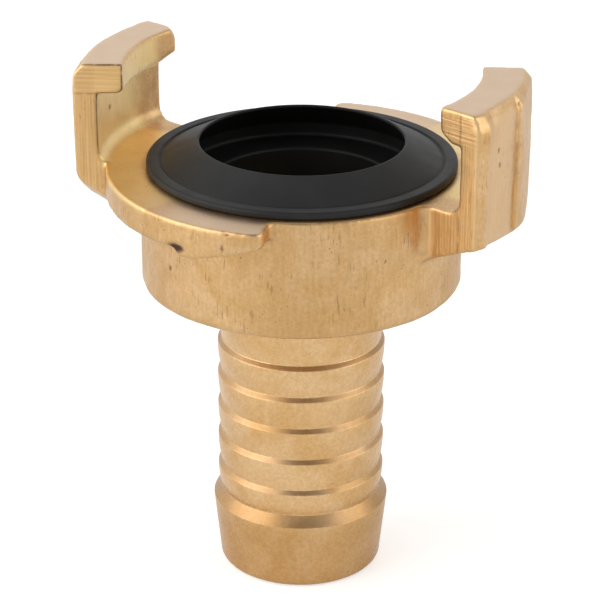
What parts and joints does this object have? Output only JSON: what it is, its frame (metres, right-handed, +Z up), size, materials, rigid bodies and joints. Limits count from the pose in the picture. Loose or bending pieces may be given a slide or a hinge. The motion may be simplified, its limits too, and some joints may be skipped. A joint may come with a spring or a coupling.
{
  "type": "quarter-turn hose coupling",
  "caption": "Brass quarter-turn claw coupling with a barbed hose tail, cam wings, hooked claws and a black rubber lip seal.",
  "frame": {"origin": "centre of the hose tail's end face, on the waterway's axis", "axes": "+Z up the waterway from the hose tail to the claws; +X from the axis to the wing side of the first claw"},
  "size_m": [0.0636, 0.0532, 0.0754],
  "materials": {
    "brass": "hot forged and turned, matt",
    "rubber": "moulded black rubber, satin"
  },
  "bodies": {
    "root": {"coupling_body": "brass", "seal_ring": "rubber"}
  },
  "joints": []
}
